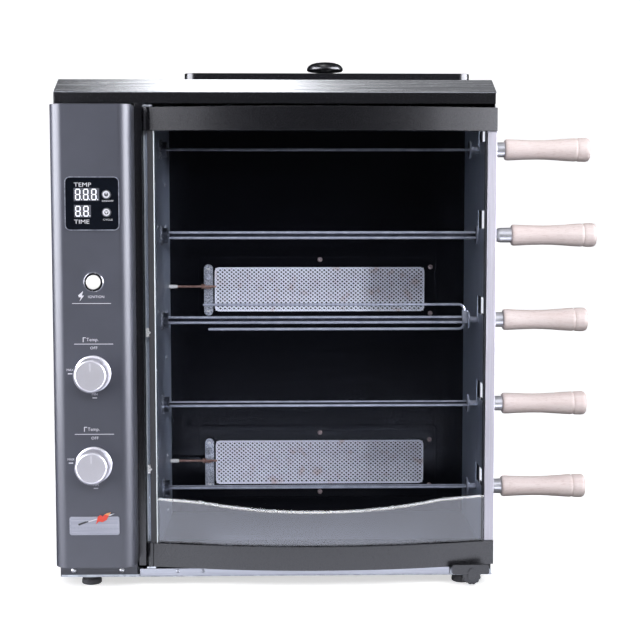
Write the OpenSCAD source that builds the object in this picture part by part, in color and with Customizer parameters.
// Counter-top gas rotisserie oven with five turning skewers and a bowed glass door.
// Millimetres, +Z up, front towards -Y, skewer handles towards +X.

/* [Which piece] */
// Piece to show

/* [Body] */
// Width of the metal body
body_w = 600; // [590:1:610]
// Distance from the cavity's front edge back to the rear panel
body_rear = 330; // [320:1:350]
// How far the body's front plane stands ahead of the cavity's front edge
front_step = 12; // [10:0.5:14]
// Thickness of the outer sheets
sheet = 1.2; // [1:0.1:1.5]
// Height of the rubber feet
foot_h = 16; // [14:0.5:18]
// Radius of the rubber feet
foot_r = 14; // [12:0.5:16]
// Height of the top cover's lower edge
cover_z = 682; // [680:0.5:686]
// Height of the top cover's flat top
top_z = 701; // [699:0.5:703]
// Height of the black band under the top cover
fascia_z = 668; // [667:0.5:672]

/* [Cavity] */
// Inner face of the left cavity wall
cav_x0 = -168; // [-169:0.5:-167]
// Inner face of the right cavity wall
cav_x1 = 294; // [292:0.5:294]
// Inner face of the rear cavity wall
cav_y1 = 278; // [276:0.5:280]
// Upper face of the cavity floor
cav_z0 = 42; // [41:0.5:44]
// Lower face of the cavity roof
cav_z1 = 645; // [642:0.5:648]

/* [Door] */
// Radius of the bowed middle part of the door
bow_r = 870; // [850:5:900]
// Centre line of the bow
bow_x = 60; // [58:1:62]
// Half width of the bowed part before it runs straight
bow_half = 165; // [150:5:175]
// How far the middle of the door stands ahead of the cavity edge
bow_front = 47; // [46:0.5:48]
// Bottom of the upper rail
top_rail_z = 631; // [629:0.5:633]
// Top of the upper rail
top_rail_top = 662.5; // [661:0.5:664]
// Bottom of the lower rail
low_rail_z = 32; // [31.5:0.5:33]
// Top of the lower rail
low_rail_top = 65; // [62:0.5:67]
// Thickness of the door glass
glass_t = 4; // [3:0.5:5]

/* [Control pod] */
// How far the pod's face stands ahead of the cavity edge
pod_front = 61; // [58:0.5:62]
// Right side of the pod
pod_x1 = -191.5; // [-193:0.5:-191]
// Bottom of the pod
pod_z0 = 42; // [40:0.5:44]
// Top of the pod
pod_z1 = 664; // [662:0.5:666]
// Middle line of the knobs
knob_x = -245; // [-246:0.5:-243]
// Height of the upper knob
knob_hi_z = 306.5; // [306:0.5:310]
// Height of the lower knob
knob_lo_z = 183.5; // [182:0.5:187]
// Radius of the knob skirt
knob_r = 24.5; // [23:0.5:26]
// How far the knobs stand out of the pod
knob_len = 32; // [28:0.5:34]
// Height of the ignition button
ign_z = 429; // [427:0.5:431]

/* [Skewers] */
// Height of the top skewer
skewer_top = 610; // [609:0.5:611]
// Vertical spacing of the skewers
pitch = 123.6; // [123:0.1:124]
// Distance of the skewers behind the cavity's front edge
skewer_y = 115; // [112:0.5:118]
// Width of the flat skewer blade
blade_w = 12; // [10:0.5:12]
// Thickness of the flat skewer blade
blade_t = 4; // [3:0.5:4]
// Length of the wooden handle
handle_len = 124; // [115:1:130]
// How far the second skewer is drawn out
drawn_out = 11; // [0:0.5:12]
// Teeth on each drive gear
teeth = 24; // [24:1:24]
// Teeth on the motor pinion
pinion_teeth = 18; // [18:1:18]

/* [Top lid] */
// Left end of the lid
lid_x0 = -127; // [-130:1:-124]
// Right end of the lid
lid_x1 = 269; // [265:1:272]
// Front edge of the lid
lid_y0 = 30; // [28:1:34]
// Rear edge of the lid
lid_y1 = 272; // [265:1:276]
// Height of the lid's rim
lid_h = 11; // [10:0.5:13]

/* [Hidden] */
$fn = 64;
half_w = body_w / 2;
inlet_end = body_rear + 36;
handle_x0 = 331;
x_max = handle_x0 + handle_len + drawn_out;
y_min = -pod_front - knob_len;
mid_x = (x_max - half_w) / 2;
mid_y = (inlet_end + y_min) / 2;
foot_x = 261;
foot_y_front = 18;
foot_y_rear = body_rear - 32;
base_top = foot_h + 1.5;
post_x1 = -181.5;
hinge_x = -173.5;
hinge_y = -10;
hinge_pin_r = 3;
hinge_end_r = 7;
bow_a = asin(bow_half / bow_r);
door_x1 = 301;
stile_x0 = 288;
tray_x0 = -190;
tray_x1 = 240;
tray_top = 27.6;
module_mm = pitch / teeth;
gear_x0 = -189;
gear_x1 = -181;
gear_plate_x = -196;
hub_end = -158;
hub_r = 11;
stub_r = 5;
stub_x0 = -200;
run_gap = 0.05;
pinion_y = skewer_y + (teeth + pinion_teeth) / 2 * module_mm;
collar_x = 279;
shank_r = 4.5;
notch_r = 5.2;
knob_zs = [knob_hi_z, knob_lo_z];
skewer_zs = [for (i = [0:4]) skewer_top - pitch * i];
// Turn of each flat blade at rest, in degrees from edge-on
blade_turns = [0, 78, 66, 32, 4];
// Lower left corner and size of both burner meshes
burner_x0 = -98;
burner_x1 = 231;
burner_zs = [363, 88.5];
burner_h = 69;
panel_x0 = -279;
panel_x1 = -207;
panel_z0 = 497.5;
panel_z1 = 568.5;
key_x = -224.1;
key_r = 5.8;
key_hi_z = 545;
key_lo_z = 521.4;
badge_x0 = -279;
badge_x1 = -212;
badge_z0 = 87.5;
badge_z1 = 112.5;
lid_mid_x = (lid_x0 + lid_x1) / 2;
lid_mid_y = (lid_y0 + lid_y1) / 2;
latch_x = 268.8;
latch_z = 21;
ign_x = -242.3;
pod_round = 18;
rail_skin = 1.8;

// ---- small helpers ----

// Moves the body's own coordinates to the shared frame, with its origin under the middle.
module place() {
    translate([-mid_x, -mid_y, 0]) children();
}

// A box between two corners.
module block(x0, x1, y0, y1, z0, z1) {
    translate([x0, y0, z0]) cube([x1 - x0, y1 - y0, z1 - z0]);
}

// Round bars along each axis.
module bar_x(x0, x1, y, z, r) {
    translate([x0, y, z]) rotate([0, 90, 0]) cylinder(h = x1 - x0, r = r);
}

module bar_y(y0, y1, x, z, r) {
    translate([x, y1, z]) rotate([90, 0, 0]) cylinder(h = y1 - y0, r = r);
}

module bar_z(z0, z1, x, y, r) {
    translate([x, y, z0]) cylinder(h = z1 - z0, r = r);
}

// A round-cornered plate outline, drawn from the origin.
module round_rect(w, h, r) {
    translate([r, 0]) square([w - 2 * r, h]);
    translate([0, r]) square([w, h - 2 * r]);
    for (x = [r, w - r], y = [r, h - r]) translate([x, y]) circle(r = r);
}

// A round-cornered plate facing the front, between two depths.
module front_plate(x0, x1, z0, z1, y0, y1, r) {
    translate([x0, y1, z0]) rotate([90, 0, 0]) linear_extrude(y1 - y0) round_rect(x1 - x0, z1 - z0, r);
}

// A turned shape about an axis along +X, from a profile of [radius, distance] points.
module turned_x(x, y, z, pts) {
    translate([x, y, z]) rotate([0, 90, 0]) rotate_extrude($fn = 72) polygon(pts);
}

// A turned shape about an axis along -Y, from a profile of [radius, distance] points.
module turned_front(x, y, z, pts) {
    translate([x, y, z]) rotate([90, 0, 0]) rotate_extrude($fn = 72) polygon(pts);
}

// Pan head screw facing the front.
module screw_front(x, y, z, r) {
    difference() {
        turned_front(x, y, z, [[0, 0], [r, 0], [r * 0.9, r * 0.45], [r * 0.55, r * 0.7], [0, r * 0.7]]);
        block(x - r * 0.6, x + r * 0.6, y - r, y - r * 0.4, z - r * 0.12, z + r * 0.12);
    }
}

// Outline of the inside of the bow at a given distance in from the door's front.
module bow_inside(inset) {
    r = bow_r - inset;
    cy = bow_r - bow_front;
    reach = 400;
    translate([bow_x, cy]) {
        intersection() {
            circle(r = r, $fn = 128);
            polygon([[0, 0], [-reach * 3 * tan(bow_a + 0.3), -reach * 3], [reach * 3 * tan(bow_a + 0.3), -reach * 3]]);
        }
        polygon([
            [0, 0],
            [r * sin(bow_a), -r * cos(bow_a)],
            [r * sin(bow_a) + reach * cos(bow_a), -r * cos(bow_a) + reach * sin(bow_a)],
            [reach, 0]
        ]);
        polygon([
            [0, 0],
            [-reach, 0],
            [-r * sin(bow_a) - reach * cos(bow_a), -r * cos(bow_a) + reach * sin(bow_a)],
            [-r * sin(bow_a), -r * cos(bow_a)]
        ]);
    }
}

// Plan of a door rail: bowed in front, flat behind, round at the hinge end.
module rail_plan() {
    intersection() {
        bow_inside(0);
        translate([hinge_x + 3.2, -bow_front]) square([door_x1 - hinge_x - 3.2, bow_front - 3]);
    }
    translate([hinge_x, hinge_y]) circle(r = hinge_end_r);
}

// A folded channel, open behind, with a solid hinge end.
module door_rail(z0, z1, bore_z0, bore_z1) {
    difference() {
        translate([0, 0, z0]) linear_extrude(z1 - z0) rail_plan();
        bar_z(bore_z0, bore_z1, hinge_x, hinge_y, hinge_pin_r + run_gap);
        translate([0, 0, z0 + rail_skin]) linear_extrude(z1 - z0 - 2 * rail_skin) intersection() {
            bow_inside(rail_skin);
            translate([hinge_x + 14, -bow_front]) square([door_x1 - rail_skin - hinge_x - 14, bow_front]);
        }
    }
}

// Involute spur gear outline. Tooth flanks stop at the root circle.
function flank(rb, r, half) = half - (tan(acos(rb / r)) * 180 / PI - acos(rb / r));
function gear_points(n) = let (
        rp = module_mm * n / 2,
        rb = rp * cos(20),
        ra = rp + module_mm * 0.9,
        rf = rp - module_mm * 1.15,
        r0 = max(rb, rf) + 0.05,
        half = 90 / n - 0.09 * 180 / PI / rp + (tan(20) * 180 / PI - 20),
        rs = [for (k = [0:4]) r0 + (ra - r0) * k / 4])
    [for (t = [0:n - 1]) each concat(
        [rf * [cos(t * 360 / n - half - 0.3), sin(t * 360 / n - half - 0.3)]],
        [for (r = rs) r * [cos(t * 360 / n - flank(rb, r, half)), sin(t * 360 / n - flank(rb, r, half))]],
        [for (k = [4:-1:0])
            rs[k] * [cos(t * 360 / n + flank(rb, rs[k], half)), sin(t * 360 / n + flank(rb, rs[k], half))]],
        [rf * [cos(t * 360 / n + half + 0.3), sin(t * 360 / n + half + 0.3)]])];

// Spur gear lying across the X axis.
module gear_disc(n, y, z, x0, x1, turn) {
    translate([x0, y, z]) rotate([90, 0, 90]) rotate([0, 0, turn]) linear_extrude(x1 - x0)
        polygon(gear_points(n));
}

// ---- body ----

module base_pan() color("#8f9296") place() {
    difference() {
        block(-half_w, half_w, -front_step, body_rear, foot_h, base_top);
        for (x = [-foot_x, foot_x], y = [foot_y_front, foot_y_rear]) bar_z(foot_h - 1, base_top + 1, x, y, 4);
    }
    // raised front lips left and right of the tray
    block(-half_w + sheet, tray_x0 - 1, -front_step, -front_step + sheet, base_top, 20);
    block(tray_x1 + 1, half_w - sheet, -front_step, -front_step + sheet, base_top, 24);
    // tray runners
    for (x = [tray_x0 - 4.5, tray_x1 + 2]) block(x, x + 1.5, 4, cav_y1, base_top, 26);
}

module left_side_panel() color("#26272a") place() difference() {
    block(-half_w, -half_w + sheet, -front_step, body_rear, base_top, cover_z);
    for (i = [0:11]) block(-half_w - 1, -half_w + sheet + 1, 110, 220, 90 + i * 12, 95 + i * 12);
    for (i = [0:7]) block(-half_w - 1, -half_w + sheet + 1, 110, 220, 560 + i * 12, 565 + i * 12);
}

// Path by which a skewer goes in from the front and drops to its rest.
module skewer_slot(z, x0, x1) {
    block(x0, x1, -front_step - 1, skewer_y + notch_r, z + 10, z + 36);
    block(x0, x1, skewer_y - notch_r, skewer_y + notch_r, z, z + 11);
    bar_x(x0, x1, skewer_y, z, notch_r);
}

module right_side_panel() color("#26272a") place() difference() {
    block(half_w - sheet, half_w, 0, body_rear, base_top, cover_z);
    for (z = skewer_zs) skewer_slot(z, half_w - sheet - 1, half_w + 1);
}

module rear_panel() color("#2b2c2f") place() difference() {
    block(-half_w + sheet, half_w - sheet, body_rear - sheet, body_rear, base_top, cover_z);
    for (i = [0:15]) block(-110 + i * 24, -100 + i * 24, body_rear - 2 * sheet, body_rear + 1, 500, 600);
    for (i = [0:15]) block(-110 + i * 24, -100 + i * 24, body_rear - 2 * sheet, body_rear + 1, 190, 290);
    bar_y(body_rear - 2 * sheet, body_rear + 1, knob_x, 120, 11);
}

// Bevelled block between two heights, drawn in by a given skin.
module cover_body(skin, drop) {
    intersection() {
        translate([-half_w + skin, 0, 0]) rotate([90, 0, 90]) linear_extrude(body_w - 2 * skin) polygon([
            [-front_step + skin, cover_z - drop],
            [body_rear - skin, cover_z - drop],
            [body_rear - skin, cover_z + 3],
            [body_rear - 8 - skin, top_z - skin],
            [2 + skin, top_z - skin],
            [-front_step + skin, cover_z + 1]
        ]);
        translate([0, body_rear + 1, 0]) rotate([90, 0, 0]) linear_extrude(body_rear + front_step + 2) polygon([
            [-half_w + skin, cover_z - drop],
            [half_w - skin, cover_z - drop],
            [half_w - skin, cover_z + 1],
            [half_w - 5 - skin, top_z - skin],
            [-half_w + 5 + skin, top_z - skin],
            [-half_w + skin, cover_z + 1]
        ]);
    }
}

module top_cover() color("#c4c6c9") place() difference() {
    cover_body(0, 0);
    cover_body(1.2, 2);
    block(lid_x0 + 14, lid_x1 - 14, lid_y0 + 14, lid_y1 - 14, top_z - 4, top_z + 1);
}

module top_fascia() color("#111113") place() {
    block(-half_w + sheet, half_w - sheet, -front_step, -front_step + sheet, fascia_z, cover_z);
    block(-half_w + sheet, half_w - sheet, -front_step + sheet, 0, fascia_z, fascia_z + sheet);
}

module left_front_post() color("#18181a") place() {
    block(pod_x1 + 0.5, post_x1, -front_step, -front_step + 1.5, 32, fascia_z);
    block(pod_x1 + 0.5, pod_x1 + 2, -front_step + 1.5, 0, 32, fascia_z);
    block(post_x1 - 1.5, post_x1, -front_step + 1.5, 0, 32, fascia_z);
}

// Plan of the pod's skin: rounded at both front corners.
module pod_plan(skin) {
    r = pod_round - skin;
    x0 = -half_w + skin;
    x1 = pod_x1 - skin;
    y0 = -pod_front + skin;
    translate([x0, y0 + r]) square([x1 - x0, pod_front - skin - r - front_step - 0.2]);
    translate([x0 + r, y0]) square([x1 - x0 - 2 * r, r + 1]);
    for (x = [x0 + r, x1 - r]) translate([x, y0 + r]) circle(r = r);
}

module control_cover() color("#3c3d42") place() difference() {
    union() {
        translate([0, 0, pod_z0]) linear_extrude(pod_z1 - pod_z0) pod_plan(0);
        block(-half_w + 1, pod_x1 - 2, -front_step - 2.2, -front_step - 0.2, 20, pod_z0 + 1);
    }
    translate([0, 1.5, pod_z0 + 1.5]) linear_extrude(pod_z1 - pod_z0 - 3) pod_plan(1.5);
    block(panel_x0 + 4, panel_x1 - 4, -pod_front - 1, -pod_front + 4, panel_z0 + 4, panel_z1 - 4);
    bar_y(-pod_front - 1, -pod_front + 4, ign_x, ign_z, 12.3);
    for (z = knob_zs) bar_y(-pod_front - 1, -pod_front + 4, knob_x, z, 6);
}

// ---- cavity ----

module cavity_left_wall() color("#b9bbbe") place() difference() {
    union() {
        block(cav_x0 - 1.5, cav_x0, 0, cav_y1, cav_z0 - 1.2, cav_z1 + 1.2);
        block(-180.5, cav_x0 - 1.5, 0, 1.2, cav_z0 - 1.2, cav_z1 + 1.2);
    }
    for (z = skewer_zs) bar_x(cav_x0 - 3, cav_x0 + 1, skewer_y, z, 14.3);
    for (z = burner_zs) bar_x(cav_x0 - 3, cav_x0 + 1, 258, z + burner_h * 0.58, 4);
}

module cavity_right_wall() color("#a9abae") place() difference() {
    block(cav_x1, cav_x1 + sheet, 0, cav_y1, cav_z0 - 1.2, cav_z1 + 1.2);
    for (z = skewer_zs) skewer_slot(z, cav_x1 - 1, cav_x1 + 3);
}

// Raised picture-frame bead pressed into the rear wall round a burner.
module burner_bead(z0) {
    front_plate(burner_x0 - 26, burner_x1 + 22, z0 - 27, z0 + burner_h + 24, cav_y1 - 3, cav_y1, 10);
}

module cavity_back_wall() color("#0e0e10") place() difference() {
    union() {
        block(cav_x0, cav_x1, cav_y1, cav_y1 + 1.5, cav_z0, cav_z1);
        for (z = burner_zs) burner_bead(z);
    }
    for (z = burner_zs) {
        front_plate(burner_x0 - 22, burner_x1 + 17, z - 22, z + burner_h + 15.5, cav_y1 - 4, cav_y1 - 1, 8);
        block(burner_x0 + 4, burner_x1 - 4, cav_y1 - 2, cav_y1 + 2, z + 4, z + burner_h - 4);
    }
}

module cavity_roof() color("#17171a") place()
    block(cav_x0 - 1.5, cav_x1 + sheet, 0, cav_y1 + 1.5, cav_z1 + 1.2, cav_z1 + 2.4);

module cavity_floor() color("#c9cbce") place() difference() {
    union() {
        block(cav_x0, cav_x1, 0, cav_y1, cav_z0 - 1.2, cav_z0);
        block(cav_x0, cav_x1, 0, 1.2, 33, cav_z0 - 1.2);
    }
    block(-90, 190, 60, 84, cav_z0 - 3, cav_z0 + 1);
}

module burner_housings() color("#6f7175") place() for (z = burner_zs) difference() {
    block(burner_x0 - 4, burner_x1 + 4, cav_y1 + 1.5, 312, z - 4, z + burner_h + 4);
    block(burner_x0, burner_x1, cav_y1 + 1, 309, z, z + burner_h);
    bar_x(burner_x0 - 6, burner_x0 + 1, 298, z + 24, 6);
}

module burner_meshes() color("#b4b4b2") place() for (z = burner_zs)
    front_plate(burner_x0, burner_x1, z, z + burner_h, 272, 276.8, 7);

module burner_igniters() color("#b08a66") place() for (z = burner_zs) {
    // slotted stainless strap with a screw, then the ceramic-tipped electrode
    front_plate(burner_x0 - 16.7, burner_x0 - 3.5, z - 5.7, z + burner_h + 5.9, 266, 267.5, 6.5);
    bar_y(267.5, 276.9, burner_x0 - 11.3, z + 57, 2.5);
    bar_y(262.5, 266, burner_x0 - 11.3, z + 57, 4.5);
    bar_x(cav_x0 - 8, burner_x0 + 3, 258, z + burner_h * 0.58, 1.8);
    bar_x(burner_x0 - 22, burner_x0 - 16, 258, z + burner_h * 0.58, 4);
    block(burner_x0 - 12.5, burner_x0 - 6.5, 257, 266, z + burner_h * 0.58 - 1.2, z + burner_h * 0.58 + 1.2);
}

module hinge_brackets() color("#3a3b3e") place() {
    for (z = [top_rail_top + 0.6, low_rail_z - 3.2]) {
        block(-180, hinge_x + 6, hinge_y - 6, 0, z, z + 2.6);
    }
    bar_z(top_rail_top - 11, top_rail_top + 1, hinge_x, hinge_y, hinge_pin_r);
    bar_z(low_rail_z - 1, low_rail_z + 11, hinge_x, hinge_y, hinge_pin_r);
}

// ---- control pod ----

module display_panel() color("#0b0b0d") place() difference() {
    union() {
        front_plate(panel_x0, panel_x1, panel_z0, panel_z1, -pod_front - 1.4, -pod_front, 7);
        block(panel_x0 + 4.5, panel_x1 - 4.5, -pod_front, -pod_front + 5, panel_z0 + 4.5, panel_z1 - 4.5);
    }
    for (z = [key_hi_z, key_lo_z]) bar_y(-pod_front - 3, -pod_front + 6, key_x, z, key_r + 0.35);
}

module key_cap(z) {
    bar_y(-pod_front - 2.2, -pod_front + 8, key_x, z, key_r);
    bar_y(-pod_front + 8, -pod_front + 11.5, key_x, z, 2);
}

module on_off_button() color("#2c2d31") place() key_cap(key_hi_z);

module cycle_button() color("#2c2d31") place() key_cap(key_lo_z);

module control_board() color("#1f5a38") place() {
    block(panel_x0 + 2, panel_x1 - 2, -46.4, -44.8, panel_z0 - 4, panel_z1 + 4);
    for (z = [key_hi_z, key_lo_z]) block(key_x - 4, key_x + 4, -48, -46.4, z - 4, z + 4);
    for (x = [panel_x0 + 8, panel_x1 - 8], z = [panel_z0 + 8, panel_z1 - 8])
        bar_y(-pod_front + 5, -46.4, x, z, 3);
    block(panel_x0 + 8, panel_x0 + 40, -44.8, -30, panel_z0 + 6, panel_z0 + 34);
}

module ignition_bezel() color("#d9dadc") place() difference() {
    turned_front(ign_x, -pod_front, ign_z, [[0, -24], [11.8, -24], [11.8, 0], [13.5, 0],
        [13.5, 1.6], [12.2, 3.6], [0, 3.6]]);
    bar_y(-pod_front - 5, -pod_front + 25, ign_x, ign_z, 9.85);
}

module ignition_button() color("#f4f4f2") place()
    turned_front(ign_x, -pod_front, ign_z, [[0, -14], [9.5, -14], [9.5, 7.4], [8.2, 8.8], [0, 9.4]]);

module gas_knob(z) difference() {
    union() {
        turned_front(knob_x, -pod_front - 0.8, z, [[0, 0], [knob_r, 0], [knob_r, 4], [knob_r - 2, 6],
            [knob_r - 2.6, knob_len - 3], [knob_r - 5, knob_len - 0.8], [0, knob_len - 0.8]]);
        bar_y(-pod_front - 1, -30, knob_x, z, 4);
    }
    // pointer groove from the middle to the top edge
    block(knob_x - 0.9, knob_x + 0.9, -pod_front - knob_len - 1, -pod_front - knob_len + 0.8, z + 6, z + knob_r);
}

module upper_knob() color("#b9bbbe") place() gas_knob(knob_hi_z);

module lower_knob() color("#b9bbbe") place() gas_knob(knob_lo_z);

module gas_valves() color("#b59a55") place() for (z = knob_zs) difference() {
    union() {
        bar_y(-52, -10, knob_x, z, 13);
        block(knob_x - 15, knob_x + 15, -10, 12, z - 15, z + 15);
        block(knob_x - 28, knob_x + 28, -54, -52, z - 18, z + 18);
    }
    bar_y(-60, -26, knob_x, z, 4 + run_gap);
}

module gas_pipes() color("#a9754b") place() {
    // supply pipe from the rear inlet to the two valves
    bar_z(115, knob_lo_z - 15, knob_x, 1, 6);
    bar_z(knob_lo_z + 15, knob_hi_z - 15, knob_x, 1, 6);
    bar_y(1, body_rear - 10, knob_x, 120, 6);
    translate([knob_x, 1, 120]) sphere(r = 8);
    bar_y(body_rear - 10, body_rear + 14, knob_x, 120, 10.5);
    difference() {
        bar_y(body_rear + 14, inlet_end, knob_x, 120, 8);
        bar_y(inlet_end - 20, inlet_end + 1, knob_x, 120, 4);
    }
    // one feed from each valve round to its burner
    for (i = [0, 1]) {
        zb = burner_zs[i] + 24;
        bar_y(12, 298, knob_x + 10, knob_zs[i], 4);
        translate([knob_x + 10, 298, knob_zs[i]]) sphere(r = 5.5);
        bar_z(min(zb, knob_zs[i]), max(zb, knob_zs[i]), knob_x + 10, 298, 4);
        translate([knob_x + 10, 298, zb]) sphere(r = 5.5);
        bar_x(knob_x + 10, burner_x0 - 0.5, 298, zb, 4);
    }
}

module spark_generator() color("#e8e6df") place() {
    block(-290, -262, 20, 70, 400, 450);
    block(-298.8, -290, 26, 64, 406, 444);
    bar_y(10, 20, -276, 415, 4);
    bar_y(10, 20, -276, 435, 4);
}

module nameplate() color("#c8cacc") place() difference() {
    front_plate(badge_x0, badge_x1, badge_z0, badge_z1, -pod_front - 1.6, -pod_front, 3);
    front_plate(badge_x0 + 2, badge_x1 - 2, badge_z0 + 2, badge_z1 - 2, -pod_front - 2, -pod_front - 1, 2);
}

module case_screws() color("#c9cacd") place() {
    for (x = [-281.9, -214.7]) screw_front(x, -front_step - 2.2, 27, 3.2);
    for (z = burner_zs, dz = [-14, burner_h + 12]) screw_front(bow_x + 7, cav_y1 - 1, z + dz, 3.6);
    for (z = burner_zs, dz = [-4, burner_h]) screw_front(burner_x1 + 10, cav_y1 - 1, z + dz, 3.2);
    for (z = [590, 340, 95], y = [60, 230]) turned_x(half_w, y + 20, z, [[0, 0], [3.4, 0], [2.4, 2], [0, 2]]);
    for (z = [560, 300, 150, 66], y = [22, 190]) turned_x(cav_x0, y, z, [[0, 0], [3, 0], [2, 1.8], [0, 1.8]]);
    for (x = [-270, 0, 270], z = [60, 640])
        translate([x, body_rear, z]) rotate([-90, 0, 0]) cylinder(h = 2, r = 3.4);
}

module feet() color("#1b1b1d") place() for (x = [-foot_x, foot_x], y = [foot_y_front, foot_y_rear])
    translate([x, y, 0]) rotate_extrude($fn = 72) polygon([[0, 0], [foot_r - 2, 0], [foot_r, 2],
        [foot_r - 1, foot_h], [3.7, foot_h], [3.7, foot_h + 4], [0, foot_h + 4]]);

// ---- door ----

module door_top_rail() color("#2a2a2e") place() door_rail(top_rail_z, top_rail_top,
    top_rail_top - 14, top_rail_top + 1);

module door_bottom_rail() color("#3a3a3f") place() door_rail(low_rail_z, low_rail_top,
    low_rail_z - 1, low_rail_z + 14);

module door_stile() color("#c7c6cb") place()
    block(stile_x0, door_x1, -15, -5, low_rail_top, top_rail_z);

module door_glass() color([0.8, 0.85, 0.88, 0.3]) place() translate([0, 0, low_rail_top])
    linear_extrude(top_rail_z - low_rail_top) intersection() {
        difference() {
            bow_inside(4);
            bow_inside(4 + glass_t);
        }
        translate([-177, -bow_front]) square([stile_x0 + 176.6, bow_front]);
    }

module latch_bracket() color("#2b2b2f") place() {
    front_plate(latch_x - 27.5, latch_x + 23.5, 24, 37, -40, -37.5, 2.5);
    bar_y(-40, -37.5, latch_x, latch_z, 6);
    // raised boss over the wheel's pivot
    translate([latch_x, -39.5, 26.5]) rotate([90, 0, 0]) linear_extrude(1.8)
        polygon([[-6.5, 0], [6.5, 0], [3, 5], [0, 6.4], [-3, 5]]);
    bar_y(-37.5, -29, latch_x, latch_z, 3);
    for (x = [latch_x - 27.5, latch_x + 20]) {
        block(x, x + 3.5, -37.5, -5, 25, 31);
        block(x, x + 3.5, -14, -5, 31, low_rail_z);
    }
}

module latch_wheel() color("#1d1d20") place() difference() {
    bar_y(-36.6, -30, latch_x, latch_z, 12.5);
    bar_y(-38, -28, latch_x, latch_z, 3 + run_gap);
    for (a = [0:30:330]) translate([latch_x + 13.6 * cos(a), -28, latch_z + 13.6 * sin(a)])
        rotate([90, 0, 0]) cylinder(h = 10, r = 2);
}

// ---- tray and lid ----

module drip_tray() color("#d3d5d8") place() {
    block(tray_x0, tray_x1, -front_step - 1.2, -front_step, base_top + 0.3, tray_top);
    difference() {
        block(tray_x0, tray_x1, -front_step, 270, base_top + 0.3, tray_top);
        block(tray_x0 + 1.2, tray_x1 - 1.2, -front_step + 1.2, 268.8, base_top + 1.5, tray_top + 1);
    }
    for (x = [-137.5, -103]) screw_front(x, -front_step - 1.2, 24, 2.4);
}

module top_lid() color("#1a1a1d") place() difference() {
    union() {
        translate([lid_x0, lid_y0, top_z]) linear_extrude(lid_h) round_rect(lid_x1 - lid_x0, lid_y1 - lid_y0, 16);
        bar_z(top_z + lid_h, top_z + lid_h + 2, lid_mid_x, lid_mid_y, 14);
    }
    translate([lid_x0 + 1.2, lid_y0 + 1.2, top_z - 1])
        linear_extrude(lid_h - 0.2) round_rect(lid_x1 - lid_x0 - 2.4, lid_y1 - lid_y0 - 2.4, 15);
}

module lid_knob() color("#141416") place() translate([lid_mid_x, lid_mid_y, top_z + lid_h + 2])
    rotate_extrude($fn = 72) polygon([[0, 0], [9, 0], [8, 6], [12, 9], [26, 10.5], [26.5, 14],
        [24, 19], [16, 23], [0, 24]]);

// ---- drive ----

// A gear with its stub axle behind and its socketed hub through the cavity wall.
module drive_gear(i) difference() {
    union() {
        gear_disc(teeth, skewer_y, skewer_zs[i], gear_x0, gear_x1, i % 2 == 0 ? 0 : 180 / teeth);
        bar_x(gear_x1 - 1, hub_end, skewer_y, skewer_zs[i], hub_r);
        bar_x(stub_x0, gear_x0 + 1, skewer_y, skewer_zs[i], stub_r);
    }
    translate([hub_end - 16, skewer_y, skewer_zs[i]]) rotate([blade_turns[i], 0, 0])
        translate([0, -blade_w / 2 - 0.3, -blade_t / 2 - 0.3])
            cube([17, blade_w + 0.6, blade_t + 0.6]);
    for (a = [30:60:330]) bar_x(gear_x0 - 1, gear_x1 + 1,
        skewer_y + 34 * cos(a), skewer_zs[i] + 34 * sin(a), 11);
}

module drive_gear_1() color("#c9b37a") place() drive_gear(0);
module drive_gear_2() color("#c9b37a") place() drive_gear(1);
module drive_gear_3() color("#c9b37a") place() drive_gear(2);
module drive_gear_4() color("#c9b37a") place() drive_gear(3);
module drive_gear_5() color("#c9b37a") place() drive_gear(4);

module motor_pinion() color("#c9b37a") place() {
    gear_disc(pinion_teeth, pinion_y, skewer_zs[2], gear_x0, gear_x1, 180 / pinion_teeth);
    bar_x(-214, gear_x0 + 1, pinion_y, skewer_zs[2], 5);
}

module gear_plate() color("#7f8286") place() difference() {
    union() {
        block(gear_plate_x, gear_plate_x + 2, 40, 276, 43, cav_z1);
        block(gear_plate_x + 1, cav_x0 - 1.5, 40, 276, 43, 44.2);
        block(gear_plate_x + 1, cav_x0 - 1.5, 274.8, 276, 43, cav_z1);
    }
    for (z = skewer_zs) bar_x(gear_plate_x - 1, gear_plate_x + 3, skewer_y, z, stub_r + run_gap);
    bar_x(gear_plate_x - 1, gear_plate_x + 3, pinion_y, skewer_zs[2], 5.5);
}

module bearing_bushes() color("#d8d9da") place() for (z = skewer_zs) difference() {
    union() {
        bar_x(cav_x0 - 6, cav_x0 - 1.5, skewer_y, z, 18);
        bar_x(cav_x0 - 1.5, cav_x0 + 3, skewer_y, z, 14);
    }
    bar_x(cav_x0 - 8, cav_x0 + 5, skewer_y, z, hub_r + run_gap);
}

module gear_motor() color("#9b9da1") place() difference() {
    union() {
        bar_x(-262, gear_plate_x, pinion_y, skewer_zs[2], 32);
        bar_x(-276, -262, pinion_y, skewer_zs[2], 22);
        block(gear_plate_x - 3, gear_plate_x, pinion_y - 46, pinion_y + 46, skewer_zs[2] - 12, skewer_zs[2] + 12);
    }
    bar_x(-216, gear_plate_x + 1, pinion_y, skewer_zs[2], 5 + run_gap);
}

// ---- skewers ----

// Flat blade, round shank, collar and ferrule.
module skewer(i, out) {
    z = skewer_zs[i];
    translate([out, skewer_y, z]) {
        rotate([blade_turns[i], 0, 0]) translate([hub_end - 10, -blade_w / 2, -blade_t / 2])
            cube([collar_x - hub_end + 11, blade_w, blade_t]);
    }
    translate([out, 0, 0]) {
        bar_x(collar_x, collar_x + 2.5, skewer_y, z, 13);
        bar_x(collar_x + 2.5, handle_x0 - 21, skewer_y, z, shank_r);
        turned_x(handle_x0 - 22, skewer_y, z, [[0, 0], [8.6, 0], [10, 1.6], [10.8, 6], [11, 22], [0, 22]]);
    }
}

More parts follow.
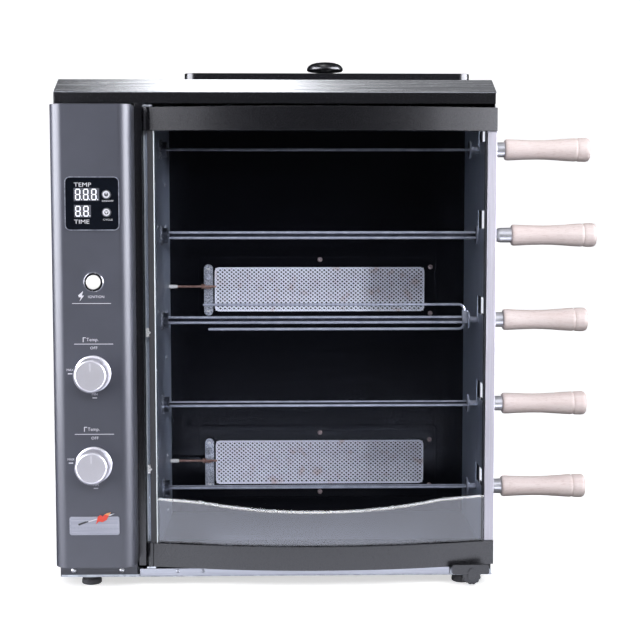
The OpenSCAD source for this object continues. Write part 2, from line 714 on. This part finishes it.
// Two side prongs clamped to the third skewer.
module fork() {
    z = skewer_zs[2];
    difference() {
        block(258, collar_x, skewer_y - 4.5, skewer_y + 4.5, z - 16, z + 25);
        block(250, 272, skewer_y - 8, skewer_y + 8, z + 8, z + 18);
    }
    for (p = [[-108.2, 22.4], [-100.3, -13.4]]) bar_x(p[0], 262, skewer_y, z + p[1], 2);
}

module skewer_1() color("#bfc1c4") place() skewer(0, 0);
module skewer_2() color("#bfc1c4") place() skewer(1, drawn_out);
module skewer_3() color("#bfc1c4") place() {
    skewer(2, 0);
    fork();
}
module skewer_4() color("#bfc1c4") place() skewer(3, 0);
module skewer_5() color("#bfc1c4") place() skewer(4, 0);

// Turned wooden grip with a waist and a grooved, rounded end.
module grip(i, out) turned_x(handle_x0 + out, skewer_y, skewer_zs[i], [[0, 0], [14.5, 0], [15.5, 2.5],
    [15.4, 14], [14.4, 34], [14.2, 56], [15.2, 78], [16.6, 96], [17, handle_len - 21],
    [16.2, handle_len - 20], [16.2, handle_len - 18.5], [17.2, handle_len - 17.5],
    [17.5, handle_len - 8], [16, handle_len - 2.5], [11, handle_len], [0, handle_len]]);

module skewer_handle_1() color("#ead9cf") place() grip(0, 0);
module skewer_handle_2() color("#ead9cf") place() grip(1, drawn_out);
module skewer_handle_3() color("#ead9cf") place() grip(2, 0);
module skewer_handle_4() color("#ead9cf") place() grip(3, 0);
module skewer_handle_5() color("#ead9cf") place() grip(4, 0);

// ---- assembly ----

base_pan();
left_side_panel();
right_side_panel();
rear_panel();
top_cover();
top_fascia();
left_front_post();
control_cover();
cavity_left_wall();
cavity_right_wall();
cavity_back_wall();
cavity_roof();
cavity_floor();
hinge_brackets();
display_panel();
ignition_bezel();
gas_valves();
gas_pipes();
spark_generator();
control_board();
nameplate();
case_screws();
gear_plate();
bearing_bushes();
gear_motor();
burner_housings();
burner_meshes();
burner_igniters();
feet();
door_top_rail();
door_bottom_rail();
door_stile();
door_glass();
latch_bracket();
latch_wheel();
drip_tray();
top_lid();
lid_knob();
upper_knob();
lower_knob();
on_off_button();
cycle_button();
ignition_button();
drive_gear_1();
drive_gear_2();
drive_gear_3();
drive_gear_4();
drive_gear_5();
motor_pinion();
skewer_1();
skewer_2();
skewer_3();
skewer_4();
skewer_5();
skewer_handle_1();
skewer_handle_2();
skewer_handle_3();
skewer_handle_4();
skewer_handle_5();
